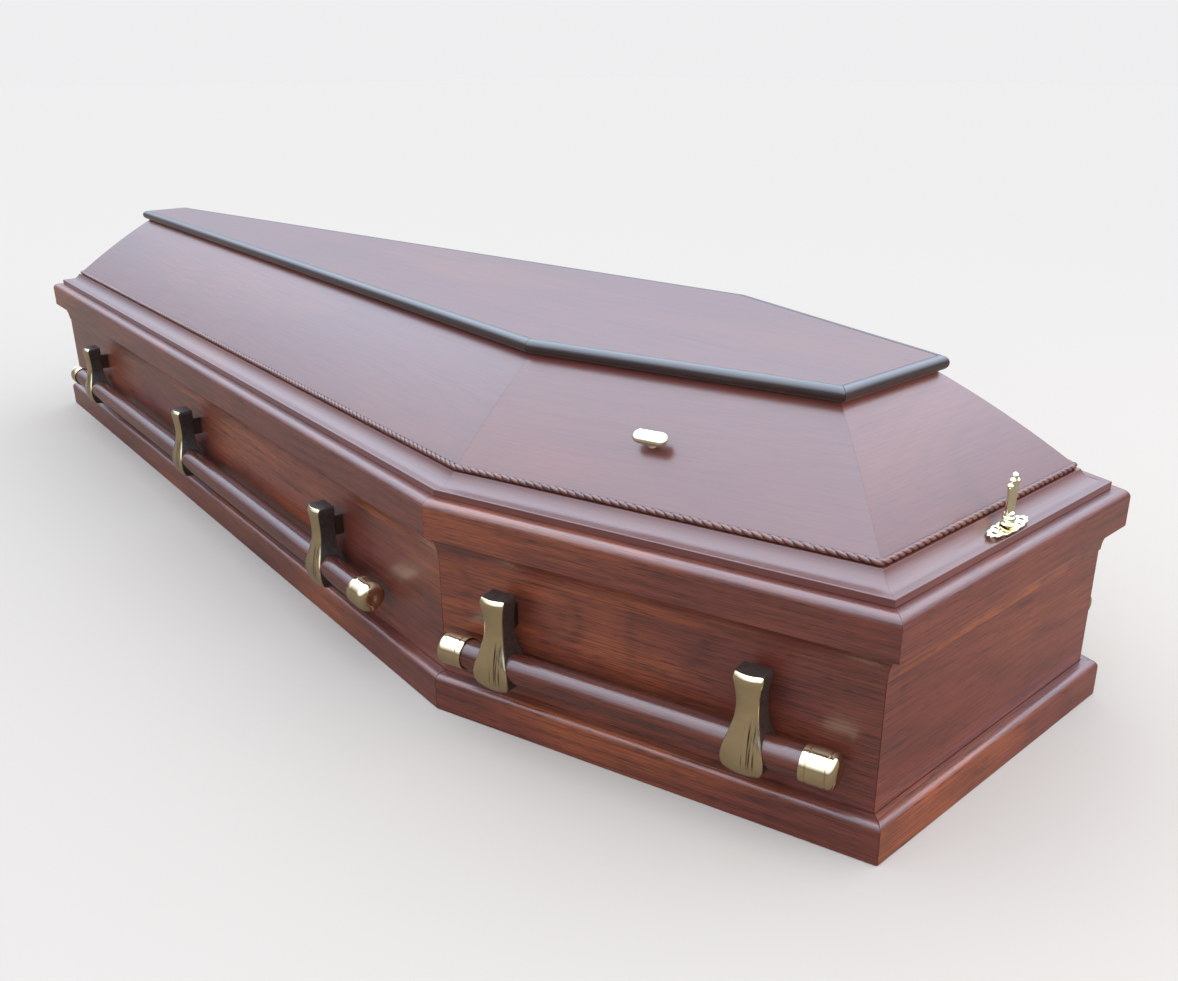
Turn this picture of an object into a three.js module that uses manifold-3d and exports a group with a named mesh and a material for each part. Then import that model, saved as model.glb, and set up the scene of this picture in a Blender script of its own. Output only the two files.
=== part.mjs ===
// A six-sided wooden coffin with a raised lid, a rope moulding and swing-bar handles.
// Millimetres. +X is the head end, +Z is up, the underside stands on z = 0, and x = 0 is
// the middle of the length. The -Y side is called right, the +Y side left.

import * as THREE from 'three';
import { mergeVertices } from 'three/addons/utils/BufferGeometryUtils.js';
import Module from 'manifold-3d';

// The plan, measured over the rim, which is the widest outline of the box.
const LENGTH = 2050;
const HEAD_WIDTH = 440;
const SHOULDER_WIDTH = 715;
const FOOT_WIDTH = 431;
const SHOULDER_X = 522;

// The flat panel on top of the lid has the same six sides, drawn in from the rim.
const TOP_HEAD_X = 852;
const TOP_SHOULDER_X = 496;
const TOP_FOOT_X = -918;
const TOP_HEAD_WIDTH = 170;
const TOP_SHOULDER_WIDTH = 359;
const TOP_FOOT_WIDTH = 73;

// Clearances between pieces that are glued, screwed or laid on one another.
const FIT_GAP = 0.3;
const MITRE_SHIFT = 0.2;

// The box: insets are measured inward from the rim's outer face.
const BOTTOM_THICKNESS = 18;
const WALL_INSET = 18.4;
const WALL_THICKNESS = 20;
const BOX_TOP = 255;
const PLINTH_INSET = 2;
const PLINTH_HEIGHT = 43;
const PLINTH_ROUND = 8;
const RIM_BAND_BOTTOM = 212.6;
const RIM_COVE_BOTTOM = 182.6;
const RIM_ROUND = 9.5;

// The lid: a moulded frame, a rope bead, six bowed slopes and a flat top with a bullnose edge.
const LID_EDGE_INSET = 17.3;
const LID_EDGE_TOP = 263.2;
const LID_STRIP_INSET = 25;
const LID_COVE_RADIUS = 21.5;
const ROPE_SEAT_Z = 275.8;
const ROPE_INSET = 48.8;
const ROPE_RADIUS = 3.2;
const SLOPE_INSET = 52.5;
const SLOPE_FOOT_Z = 282.5;
const SLOPE_SOLE_Z = 266.5;
const SLOPE_TOP_Z = 379.5;
const SLOPE_BOW = 0.15;
const SLOPE_STEPS = 6;
const SLOPE_DEPTH = 20;
const SLOPE_LEDGE = 0.08;
const FRAME_INNER_INSET = 72;
const TOP_PANEL_THICKNESS = 16;
const BULLNOSE_FLAT = 3;

// Handles: lengths along a wall run from its foot-end corner, depths outward from the wall.
const LONG_WALL_POSTS = [262, 780, 1298];
const LONG_WALL_BAR = [132, 1430];
const SHORT_WALL_POSTS = [101, 391];
const SHORT_WALL_BAR = [26, 481];
const PIVOT_DEPTH = 22;
const PIVOT_Z = 142.6;
const LUG_HALF_HEIGHT = 13;
const LUG_WIDTH = 14;
const LUG_FACE_DEPTH = 12.6;
const LUG_NOSE_RADIUS = 7;
const PIN_RADIUS = 2.5;
const PIN_HOLE_RADIUS = 2.9;
const BAR_DEPTH = 26;
const BAR_Z = 93;
const BAR_RADIUS = 16;
const BAR_HOLE_RADIUS = 16.5;
const BAR_SIDES = 20;
const CAP_LENGTH = 34.5;
const CAP_RADIUS = 18.3;
const CAP_BORE_RADIUS = 16.5;
const CAP_END_THICKNESS = 5;
const CAP_SIDES = 16;

// Each row is one level of an arm: height, half width, depths of back, front corners and front.
const ARM_LEVELS = [
  [172.0, 14.8, 13.3, 33.4, 37.2],
  [166.5, 15.6, 13.3, 36.0, 40.2],
  [158.0, 14.2, 13.3, 35.4, 39.6],
  [146.0, 12.5, 13.3, 34.2, 38.4],
  [134.0, 12.3, 13.3, 34.2, 38.4],
  [124.0, 13.3, 13.3, 35.6, 39.8],
  [114.0, 15.6, 12.2, 38.2, 41.8],
  [104.0, 18.4, 8.4, 41.4, 44.2],
  [94.0, 21.2, 5.2, 43.8, 46.0],
  [84.0, 22.4, 5.2, 44.2, 46.4],
  [76.0, 21.4, 9.0, 42.4, 45.2],
  [68.5, 17.6, 16.0, 38.0, 41.4],
  [63.5, 11.5, 23.0, 32.0, 35.2],
];
const ARM_FRONT_STEPS = 6;
const SLOT_BELOW_PIVOT = 7.8;
const SLOT_ABOVE_PIVOT = 20.5;
const SLOT_PAST_PIVOT = 7.8;
const SLOT_SIDE_GAP = 0.5;

// Lid screws, with a pierced oval plate under a ribbed finial, and the lid knobs.
const SCREW_INSET = 28;
const PLATE_LENGTH = 74;
const PLATE_WIDTH = 20;
const PLATE_THICKNESS = 1.8;
const PLATE_TILT = THREE.MathUtils.degToRad(9);
const PLATE_UNDERSIDE_Z = 266.4;
const PLATE_LOBES = 14;
const PLATE_LOBE_DEPTH = 0.09;
const SHANK_BOTTOM_Z = 264.5;
const COLLAR_Z = 269.8;
const FINIAL_TOP_Z = 323;
const RIB_RADIUS = 3;
const KNOB_ALONG = 0.485;
const KNOB_STEP = 2;

const WOOD = { color: 0x7b4437, roughness: 0.38, metalness: 0 };
const DARK_WOOD = { color: 0x3d2a28, roughness: 0.3, metalness: 0 };
const GOLD_METAL = { color: 0xcdb985, roughness: 0.16, metalness: 1 };

const wasm = await Module();
wasm.setup();

// Mesh helpers: every solid is a stack of matching rows of points, joined side by side.

function meshFrom(points, triangles) {
  let volume = 0;
  for (const [a, b, c] of triangles) {
    volume += points[a].dot(new THREE.Vector3().crossVectors(points[b], points[c]));
  }
  const facing = volume > 0 ? triangles : triangles.map(([a, b, c]) => [a, c, b]);
  const geometry = new THREE.BufferGeometry();
  const position = points.flatMap((p) => [p.x, p.y, p.z]);
  geometry.setAttribute('position', new THREE.Float32BufferAttribute(position, 3));
  geometry.setIndex(facing.flat());
  return geometry;
}

function outlineTriangles(outline) {
  const area = THREE.ShapeUtils.area(outline);
  return THREE.ShapeUtils.triangulateShape(outline, []).map(([a, b, c]) => {
    const turn = THREE.ShapeUtils.area([outline[a], outline[b], outline[c]]);
    return turn * area > 0 ? [a, b, c] : [a, c, b];
  });
}

// Joins rows of points. A ring closes on itself; a stack gets a flat cap at both ends,
// cut along capOutline, the flat drawing that every row follows. Each panel folds on its
// shorter diagonal, so mirrored pieces stay mirrored.
function skin(rows, capOutline = null) {
  const count = rows[0].length;
  const bands = capOutline ? rows.length - 1 : rows.length;
  const triangles = [];
  for (let row = 0; row < bands; row++) {
    const next = (row + 1) % rows.length;
    for (let j = 0; j < count; j++) {
      const k = (j + 1) % count;
      const [a, b, c, d] = [row * count + j, row * count + k, next * count + k, next * count + j];
      const first = rows[row][j].distanceTo(rows[next][k]);
      const second = rows[row][k].distanceTo(rows[next][j]);
      if (first < second) triangles.push([a, b, c], [a, c, d]);
      else triangles.push([a, b, d], [b, c, d]);
    }
  }
  if (capOutline) {
    const last = (rows.length - 1) * count;
    for (const [a, b, c] of outlineTriangles(capOutline)) {
      triangles.push([a, c, b], [last + a, last + b, last + c]);
    }
  }
  return meshFrom(rows.flat(), triangles);
}

function solidOf(geometry) {
  const bare = geometry.clone();
  bare.deleteAttribute('normal');
  bare.deleteAttribute('uv');
  const merged = mergeVertices(bare, 1e-4);
  return new wasm.Manifold(new wasm.Mesh({
    numProp: 3,
    vertProperties: merged.attributes.position.array,
    triVerts: Uint32Array.from(merged.index.array),
  }));
}

function geometryOf(solid) {
  const mesh = solid.getMesh();
  const geometry = new THREE.BufferGeometry();
  geometry.setAttribute('position', new THREE.BufferAttribute(mesh.vertProperties, 3));
  geometry.setIndex(new THREE.BufferAttribute(mesh.triVerts, 1));
  return geometry;
}

function piece(name, geometry, look) {
  const mesh = new THREE.Mesh(geometry, new THREE.MeshStandardMaterial(look));
  mesh.name = name;
  return mesh;
}

function arc(centreA, centreZ, radiusA, radiusZ, fromDegrees, toDegrees, steps) {
  return Array.from({ length: steps + 1 }, (_, i) => {
    const angle = THREE.MathUtils.degToRad(fromDegrees + ((toDegrees - fromDegrees) * i) / steps);
    return [centreA + radiusA * Math.cos(angle), centreZ + radiusZ * Math.sin(angle)];
  });
}

// The plan: six corners, counter-clockwise from above, starting at the right of the head.

const HEAD = 0;
const LEFT_SHORT = 1;
const LEFT_LONG = 2;
const FOOT = 3;
const RIGHT_LONG = 4;
const RIGHT_SHORT = 5;
const SIDES = 6;

function planOf(headX, headWidth, shoulderX, shoulderWidth, footX, footWidth) {
  return [
    [headX, -headWidth / 2],
    [headX, headWidth / 2],
    [shoulderX, shoulderWidth / 2],
    [footX, footWidth / 2],
    [footX, -footWidth / 2],
    [shoulderX, -shoulderWidth / 2],
  ].map(([x, y]) => new THREE.Vector2(x, y));
}

const rimPlan = planOf(LENGTH / 2, HEAD_WIDTH, SHOULDER_X, SHOULDER_WIDTH, -LENGTH / 2, FOOT_WIDTH);
const topPlan = planOf(
  TOP_HEAD_X, TOP_HEAD_WIDTH, TOP_SHOULDER_X, TOP_SHOULDER_WIDTH, TOP_FOOT_X, TOP_FOOT_WIDTH,
);

function sideDirection(plan, side) {
  return plan[(side + 1) % SIDES].clone().sub(plan[side]).normalize();
}

// The corner of the outline whose six sides are all moved inward by inset.
function insetCorner(plan, corner, inset) {
  const before = sideDirection(plan, (corner + SIDES - 1) % SIDES);
  const after = sideDirection(plan, corner);
  const inwardBefore = new THREE.Vector2(-before.y, before.x);
  const inwardAfter = new THREE.Vector2(-after.y, after.x);
  const reach = inset / (1 + inwardBefore.dot(inwardAfter));
  return plan[corner].clone().addScaledVector(inwardBefore.add(inwardAfter), reach);
}

const onRimPlan = (corner, inset) => insetCorner(rimPlan, corner, inset);
const aroundTopPlan = (corner, outset) => insetCorner(topPlan, corner, -outset);

// Climbs from the foot of the slopes (0) to the outline of the flat top (1).
function onSlope(corner, climb) {
  return insetCorner(rimPlan, corner, SLOPE_INSET).lerp(topPlan[corner], climb);
}

// A mitred frame: one section carried round all six corners.
function frame(section, place) {
  const rows = rimPlan.map((_, corner) => section.map(([a, z]) => {
    const p = place(corner, a);
    return new THREE.Vector3(p.x, p.y, z);
  }));
  return skin(rows);
}

// A straight board along one side, with its ends cut on the mitres.
function board(section, side, place) {
  const along = sideDirection(rimPlan, side);
  const rows = [side, (side + 1) % SIDES].map((corner, end) => section.map(([a, z]) => {
    const p = place(corner, a).addScaledVector(along, end === 0 ? MITRE_SHIFT : -MITRE_SHIFT);
    return new THREE.Vector3(p.x, p.y, z);
  }));
  return skin(rows, section.map(([a, z]) => new THREE.Vector2(a, z)));
}

function slab(plan, inset, bottom, top) {
  const outline = plan.map((_, corner) => insetCorner(plan, corner, inset));
  const rows = [bottom, top].map((z) => outline.map((p) => new THREE.Vector3(p.x, p.y, z)));
  return skin(rows, outline);
}

// The box: a bottom board, six walls standing on it, and a plinth and a rim glued round them.

function makeBox() {
  const group = new THREE.Group();
  group.add(piece('bottom_board', slab(rimPlan, WALL_INSET, 0, BOTTOM_THICKNESS), WOOD));

  const wallFoot = BOTTOM_THICKNESS + FIT_GAP;
  const wallInner = WALL_INSET + WALL_THICKNESS;
  const wallSection = [
    [WALL_INSET, wallFoot],
    [WALL_INSET, BOX_TOP],
    [wallInner, BOX_TOP],
    [wallInner, wallFoot],
  ];
  const wallNames = {
    wall_head: HEAD,
    wall_left_short: LEFT_SHORT,
    wall_left_long: LEFT_LONG,
    wall_foot: FOOT,
    wall_right_long: RIGHT_LONG,
    wall_right_short: RIGHT_SHORT,
  };
  for (const [name, side] of Object.entries(wallNames)) {
    group.add(piece(name, board(wallSection, side, onRimPlan), WOOD));
  }

  const mouldingBack = WALL_INSET - FIT_GAP;
  const plinthShoulder = PLINTH_INSET + PLINTH_ROUND;
  const plinthSection = [
    [PLINTH_INSET, 0],
    ...arc(plinthShoulder, PLINTH_HEIGHT - PLINTH_ROUND, PLINTH_ROUND, PLINTH_ROUND, 180, 90, 4),
    [mouldingBack, PLINTH_HEIGHT],
    [mouldingBack, 0],
  ];
  group.add(piece('plinth', frame(plinthSection, onRimPlan), WOOD));

  const coveDepth = mouldingBack - 1;
  const coveHeight = RIM_BAND_BOTTOM - RIM_COVE_BOTTOM;
  const rimSection = [
    [0, RIM_BAND_BOTTOM],
    ...arc(RIM_ROUND, BOX_TOP - RIM_ROUND, RIM_ROUND, RIM_ROUND, 180, 90, 4),
    [mouldingBack, BOX_TOP],
    [mouldingBack, RIM_COVE_BOTTOM],
    ...arc(0, RIM_COVE_BOTTOM, coveDepth, coveHeight - 0.6, 0, 80, 5),
  ];
  group.add(piece('rim_moulding', frame(rimSection, onRimPlan), WOOD));
  return group;
}

// The lid lies on the rim: frame, rope bead, six slopes, flat top and its bullnose edge.

function slopeHeight(climb) {
  const rise = SLOPE_TOP_Z - SLOPE_FOOT_Z;
  return SLOPE_FOOT_Z + rise * ((1 + SLOPE_BOW) * climb - SLOPE_BOW * climb * climb);
}

function slopeSection() {
  const outer = Array.from({ length: SLOPE_STEPS + 1 }, (_, i) => {
    const climb = i / SLOPE_STEPS;
    return [climb, slopeHeight(climb)];
  });
  const innerClimbs = [1 + SLOPE_LEDGE, 0.7, 0.38, SLOPE_LEDGE];
  const inner = innerClimbs.map((climb) => [climb, slopeHeight(climb) - SLOPE_DEPTH]);
  return [
    ...outer,
    [1 + SLOPE_LEDGE, SLOPE_TOP_Z],
    ...inner,
    [SLOPE_LEDGE, SLOPE_SOLE_Z],
    [0, SLOPE_SOLE_Z],
  ];
}

function makeLid() {
  const group = new THREE.Group();
  const rebate = SLOPE_INSET - FIT_GAP;
  const lidBottom = BOX_TOP + FIT_GAP;
  const coveCentreZ = LID_EDGE_TOP + LID_COVE_RADIUS;
  const coveEnd = -THREE.MathUtils.radToDeg(Math.asin((coveCentreZ - ROPE_SEAT_Z) / LID_COVE_RADIUS));
  const frameSection = [
    [LID_EDGE_INSET, lidBottom],
    [LID_EDGE_INSET, LID_EDGE_TOP - 1.4],
    [LID_EDGE_INSET + 1.1, LID_EDGE_TOP],
    ...arc(LID_STRIP_INSET, coveCentreZ, LID_COVE_RADIUS, LID_COVE_RADIUS, -90, coveEnd, 5),
    [rebate, ROPE_SEAT_Z],
    [rebate, SLOPE_SOLE_Z - FIT_GAP],
    [FRAME_INNER_INSET, SLOPE_SOLE_Z - FIT_GAP],
    [FRAME_INNER_INSET, lidBottom],
  ];
  group.add(piece('lid_frame', frame(frameSection, onRimPlan), WOOD));

  const beadCentreZ = ROPE_SEAT_Z + FIT_GAP + ROPE_RADIUS;
  const beadReach = ROPE_RADIUS / Math.cos(Math.PI / 8);
  const bead = arc(ROPE_INSET, beadCentreZ, beadReach, beadReach, 22.5, 337.5, 7);
  group.add(piece('rope_bead', frame(bead, onRimPlan), WOOD));

  const slopeNames = {
    lid_slope_head: HEAD,
    lid_slope_left_short: LEFT_SHORT,
    lid_slope_left_long: LEFT_LONG,
    lid_slope_foot: FOOT,
    lid_slope_right_long: RIGHT_LONG,
    lid_slope_right_short: RIGHT_SHORT,
  };
  for (const [name, side] of Object.entries(slopeNames)) {
    group.add(piece(name, board(slopeSection(), side, onSlope), WOOD));
  }

  const panelBottom = SLOPE_TOP_Z + FIT_GAP;
  const panelTop = panelBottom + TOP_PANEL_THICKNESS;
  group.add(piece('lid_top_panel', slab(topPlan, FIT_GAP, panelBottom, panelTop), WOOD));
  const roundRadius = TOP_PANEL_THICKNESS / 2;
  const bullnoseSection = [
    [FIT_GAP, panelBottom],
    ...arc(BULLNOSE_FLAT, panelBottom + roundRadius, roundRadius, roundRadius, -90, 90, 6),
    [FIT_GAP, panelTop],
  ];
  group.add(piece('lid_bullnose', frame(bullnoseSection, aroundTopPlan), DARK_WOOD));
  return group;
}

// Handles: a lug on the wall carries each arm on a pin, and the arms hold the bar.
// In a handle's group +X runs along the wall, -Y points outward from its face.

function lugGeometry() {
  const profile = new THREE.Shape();
  profile.moveTo(FIT_GAP, PIVOT_Z - LUG_HALF_HEIGHT);
  profile.lineTo(LUG_FACE_DEPTH, PIVOT_Z - LUG_HALF_HEIGHT);
  profile.lineTo(LUG_FACE_DEPTH, PIVOT_Z - LUG_NOSE_RADIUS);
  profile.absarc(PIVOT_DEPTH, PIVOT_Z, LUG_NOSE_RADIUS, -Math.PI / 2, Math.PI / 2, false);
  profile.lineTo(LUG_FACE_DEPTH, PIVOT_Z + LUG_NOSE_RADIUS);
  profile.lineTo(LUG_FACE_DEPTH, PIVOT_Z + LUG_HALF_HEIGHT);
  profile.lineTo(FIT_GAP, PIVOT_Z + LUG_HALF_HEIGHT);
  profile.closePath();
  const hole = new THREE.Path();
  hole.absarc(PIVOT_DEPTH, PIVOT_Z, PIN_HOLE_RADIUS, 0, 2 * Math.PI, true);
  profile.holes.push(hole);
  const geometry = new THREE.ExtrudeGeometry(profile, {
    depth: LUG_WIDTH, bevelEnabled: false, curveSegments: 4,
  });
  return depthHeightToGroup(geometry, LUG_WIDTH / 2);
}

// Turns a shape drawn as (depth, height) and extruded by its width to the handle's group.
function depthHeightToGroup(geometry, halfWidth) {
  geometry.translate(0, 0, -halfWidth);
  const turn = new THREE.Matrix4().makeBasis(
    new THREE.Vector3(0, -1, 0), new THREE.Vector3(0, 0, 1), new THREE.Vector3(-1, 0, 0),
  );
  return geometry.applyMatrix4(turn);
}

function roundBar(radius, length, sides) {
  const geometry = new THREE.CylinderGeometry(radius, radius, length, sides);
  geometry.rotateZ(Math.PI / 2);
  return geometry;
}

// The arm is a hollow-backed casting: a bowed shell over the bar, a slot for the lug's
// nose, the hinge pin across the slot, and an eye round the bar.
function armGeometry() {
  const rows = ARM_LEVELS.map(([z, halfWidth, back, corner, front]) => {
    const row = [
      new THREE.Vector3(halfWidth, -back, z),
      new THREE.Vector3(-halfWidth, -back, z),
    ];
    for (let i = 0; i <= ARM_FRONT_STEPS; i++) {
      const across = (2 * i) / ARM_FRONT_STEPS - 1;
      const depth = corner + (front - corner) * (1 - across * across);
      row.push(new THREE.Vector3(across * halfWidth, -depth, z));
    }
    return row;
  });
  const outline = rows[0].map((p) => new THREE.Vector2(p.x, p.y));
  const body = solidOf(skin(rows, outline));

  const slotWidth = LUG_WIDTH + 2 * SLOT_SIDE_GAP;
  const slotDepth = PIVOT_DEPTH + SLOT_PAST_PIVOT;
  const slotHeight = SLOT_BELOW_PIVOT + SLOT_ABOVE_PIVOT;
  const slot = new THREE.BoxGeometry(slotWidth, slotDepth, slotHeight);
  slot.translate(0, -slotDepth / 2, PIVOT_Z - SLOT_BELOW_PIVOT + slotHeight / 2);

  const eye = roundBar(BAR_HOLE_RADIUS, 60, BAR_SIDES).translate(0, -BAR_DEPTH, BAR_Z);
  const pin = roundBar(PIN_RADIUS, slotWidth + 1, 8).translate(0, -PIVOT_DEPTH, PIVOT_Z);
  return geometryOf(body.subtract(solidOf(slot)).subtract(solidOf(eye)).add(solidOf(pin)));
}

function barGeometry(length) {
  return roundBar(BAR_RADIUS, length, BAR_SIDES);
}

// A cup with a rounded closed end, drawn from its mouth at x = 0 towards +X.
function capGeometry() {
  const bottom = CAP_LENGTH - CAP_END_THICKNESS;
  const profile = [
    [0, bottom],
    [CAP_BORE_RADIUS, bottom],
    [CAP_BORE_RADIUS, 0],
    [CAP_RADIUS, 0],
    [CAP_RADIUS, CAP_LENGTH - 7],
    [CAP_RADIUS - 1.5, CAP_LENGTH - 2.5],
    [CAP_RADIUS - 6.8, CAP_LENGTH],
    [0, CAP_LENGTH],
  ].map(([radius, x]) => new THREE.Vector2(radius, x));
  const geometry = new THREE.LatheGeometry(profile, CAP_SIDES);
  geometry.rotateZ(-Math.PI / 2);
  return geometryOf(solidOf(geometry));
}

// Places one handle on a wall; posts and bar ends are lengths from the wall's first corner.
function makeHandle(name, side, posts, [barStart, barEnd]) {
  const group = new THREE.Group();
  const along = sideDirection(rimPlan, side);
  const inward = new THREE.Vector2(-along.y, along.x);
  const origin = rimPlan[side].clone().addScaledVector(inward, WALL_INSET);
  group.position.set(origin.x, origin.y, 0);
  group.rotation.z = along.angle();

  posts.forEach((x, i) => {
    const lug = piece(`lug_${name}_${i + 1}`, lugGeometry(), GOLD_METAL);
    const arm = piece(`arm_${name}_${i + 1}`, armGeometry(), GOLD_METAL);
    lug.position.x = x;
    arm.position.x = x;
    group.add(lug, arm);
  });

  const endRoom = CAP_END_THICKNESS + FIT_GAP;
  const barLength = barEnd - barStart - 2 * endRoom;
  const bar = piece(`bar_${name}`, barGeometry(barLength), WOOD);
  bar.position.set((barStart + barEnd) / 2, -BAR_DEPTH, BAR_Z);
  const firstCap = piece(`cap_${name}_1`, capGeometry(), GOLD_METAL);
  firstCap.position.set(barStart + CAP_LENGTH, -BAR_DEPTH, BAR_Z);
  firstCap.rotation.z = Math.PI;
  const lastCap = piece(`cap_${name}_2`, capGeometry(), GOLD_METAL);
  lastCap.position.set(barEnd - CAP_LENGTH, -BAR_DEPTH, BAR_Z);
  group.add(bar, firstCap, lastCap);
  return group;
}

// On the left side the walls run from head to foot, so the lengths are counted back.
function makeHandles() {
  const lengthOf = (side) => rimPlan[(side + 1) % SIDES].distanceTo(rimPlan[side]);
  const backFrom = (side, lengths) => lengths.map((x) => lengthOf(side) - x).reverse();
  return [
    makeHandle('right_long', RIGHT_LONG, LONG_WALL_POSTS, LONG_WALL_BAR),
    makeHandle('right_short', RIGHT_SHORT, SHORT_WALL_POSTS, SHORT_WALL_BAR),
    makeHandle('left_long', LEFT_LONG, backFrom(LEFT_LONG, LONG_WALL_POSTS),
      backFrom(LEFT_LONG, LONG_WALL_BAR)),
    makeHandle('left_short', LEFT_SHORT, backFrom(LEFT_SHORT, SHORT_WALL_POSTS),
      backFrom(LEFT_SHORT, SHORT_WALL_BAR)),
  ];
}

// Lid screws: an oval plate with a scalloped edge and pierced holes bridges the hollow of
// the lid's edge, and the screw's ribbed finial stands upright through it.

function plateGeometry() {
  const outline = new THREE.Shape();
  const steps = PLATE_LOBES * 3;
  for (let i = 0; i < steps; i++) {
    const angle = (2 * Math.PI * i) / steps;
    const scallop = 1 - PLATE_LOBE_DEPTH * (0.5 - 0.5 * Math.cos(PLATE_LOBES * angle));
    const x = (PLATE_WIDTH / 2) * scallop * Math.cos(angle);
    const y = (PLATE_LENGTH / 2) * scallop * Math.sin(angle);
    if (i === 0) outline.moveTo(x, y);
    else outline.lineTo(x, y);
  }
  outline.closePath();
  const holes = [[0, 0, 4], [0, 26, 2.6], [0, -26, 2.6]];
  for (const y of [14.5, -14.5]) {
    holes.push([4.6, y, 2], [-4.6, y, 2]);
  }
  for (const [x, y, radius] of holes) {
    const hole = new THREE.Path();
    hole.absarc(x, y, radius, 0, 2 * Math.PI, true);
    outline.holes.push(hole);
  }
  const plate = new THREE.ExtrudeGeometry(outline, {
    depth: PLATE_THICKNESS, bevelEnabled: false, curveSegments: 3,
  });
  plate.rotateY(PLATE_TILT);
  return plate;
}

function upright(profile, sides) {
  const points = profile.map(([radius, z]) => new THREE.Vector2(radius, z));
  return solidOf(new THREE.LatheGeometry(points, sides).rotateX(Math.PI / 2));
}

// A rib with a mushroom head that leans from its foot to its tip.
function rib(footY, tipY, footZ, tipZ) {
  const lift = tipZ - footZ;
  const taper = [[0.8, 0], [0.95, 0.88], [1.25, 0.91], [1.15, 0.96], [0.35, 1]];
  const rows = taper.map(([size, up]) => arc(0, 0, RIB_RADIUS * size, RIB_RADIUS * size, 0, 300, 5)
    .map(([x, y]) => new THREE.Vector3(x, y + footY + (tipY - footY) * up, footZ + lift * up)));
  const outline = arc(0, 0, RIB_RADIUS, RIB_RADIUS, 0, 300, 5).map(([x, y]) => new THREE.Vector2(x, y));
  return solidOf(skin(rows, outline));
}

function finialGeometry() {
  let finial = upright([
    [0, SHANK_BOTTOM_Z],
    [2.8, SHANK_BOTTOM_Z],
    [2.8, COLLAR_Z - 0.4],
    [8, COLLAR_Z],
    [8, COLLAR_Z + 1.4],
    [5.6, COLLAR_Z + 3],
    [6.8, COLLAR_Z + 6.4],
    [5.2, COLLAR_Z + 9.4],
    [5.8, COLLAR_Z + 11.4],
    [4.2, COLLAR_Z + 13.4],
    [0, COLLAR_Z + 13.4],
  ], 8);
  const ribFoot = COLLAR_Z + 8;
  const ribs = [[-3, -5.4, 9.5], [-1, -1.7, 4.6], [1.2, 2.1, 0], [3, 6.6, 6.2]];
  for (const [footY, tipY, drop] of ribs) {
    finial = finial.add(rib(footY, tipY, ribFoot, FINIAL_TOP_Z - drop));
  }
  const spur = rib(3.6, 8.2, COLLAR_Z + 9, COLLAR_Z + 20);
  return geometryOf(finial.add(spur));
}

// Lid knobs: an oblong head on a round neck, one on each short slope.
function knobGeometry() {
  const levels = [[0.2, 6.5], [2, 6.3], [4.5, 4.2], [8.5, 4.2]];
  const neck = [[0, FIT_GAP], ...levels.map(([z, radius]) => [radius, z + 0.1]), [0, 8.6]];
  const head = [[7.8, 15, 5.2], [9.8, 19, 7.6], [13.5, 20, 8.2], [16.5, 17.5, 6.2], [17.5, 12.5, 3]];
  const rows = head.map(([z, halfLength, halfWidth]) => {
    const straight = halfLength - halfWidth;
    const ends = [
      ...arc(straight, 0, halfWidth, halfWidth, -90, 90, 4),
      ...arc(-straight, 0, halfWidth, halfWidth, 90, 270, 4),
    ];
    return ends.map(([x, y]) => new THREE.Vector3(x, y, z));
  });
  const outline = rows[0].map((p) => new THREE.Vector2(p.x, p.y));
  return geometryOf(upright(neck, 10).add(solidOf(skin(rows, outline))));
}

// Sits a knob on the flat facet of a short slope, turned to the slope.
function makeKnob(name, side) {
  const next = (side + 1) % SIDES;
  const facetPoint = (climb, share) => {
    const p = onSlope(side, climb).lerp(onSlope(next, climb), share);
    return new THREE.Vector3(p.x, p.y, slopeHeight(climb));
  };
  const share = side === RIGHT_SHORT ? KNOB_ALONG : 1 - KNOB_ALONG;
  const low = facetPoint(KNOB_STEP / SLOPE_STEPS, share);
  const high = facetPoint((KNOB_STEP + 1) / SLOPE_STEPS, share);
  const flat = sideDirection(rimPlan, side);
  const along = new THREE.Vector3(flat.x, flat.y, 0);
  const upSlope = high.clone().sub(low);
  const normal = new THREE.Vector3().crossVectors(along, upSlope).normalize();
  const across = new THREE.Vector3().crossVectors(normal, along);
  const knob = piece(name, knobGeometry(), GOLD_METAL);
  knob.position.copy(low.add(high).multiplyScalar(0.5));
  knob.quaternion.setFromRotationMatrix(new THREE.Matrix4().makeBasis(along, across, normal));
  return knob;
}

function makeScrew(end, x, turn) {
  const group = new THREE.Group();
  const plate = piece(`lid_screw_plate_${end}`, plateGeometry(), GOLD_METAL);
  plate.position.z = PLATE_UNDERSIDE_Z;
  const finial = piece(`lid_screw_${end}`, finialGeometry(), GOLD_METAL);
  group.add(plate, finial);
  group.position.x = x;
  group.rotation.z = turn;
  return group;
}

const coffin = new THREE.Group();
coffin.add(makeBox(), makeLid(), ...makeHandles());
coffin.add(makeScrew('head', LENGTH / 2 - SCREW_INSET, 0));
coffin.add(makeScrew('foot', -LENGTH / 2 + SCREW_INSET, Math.PI));
coffin.add(makeKnob('lid_knob_right', RIGHT_SHORT));
coffin.add(makeKnob('lid_knob_left', LEFT_SHORT));

export default coffin;
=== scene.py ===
import math

import bmesh
import bpy
from mathutils import Matrix, Vector


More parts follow.
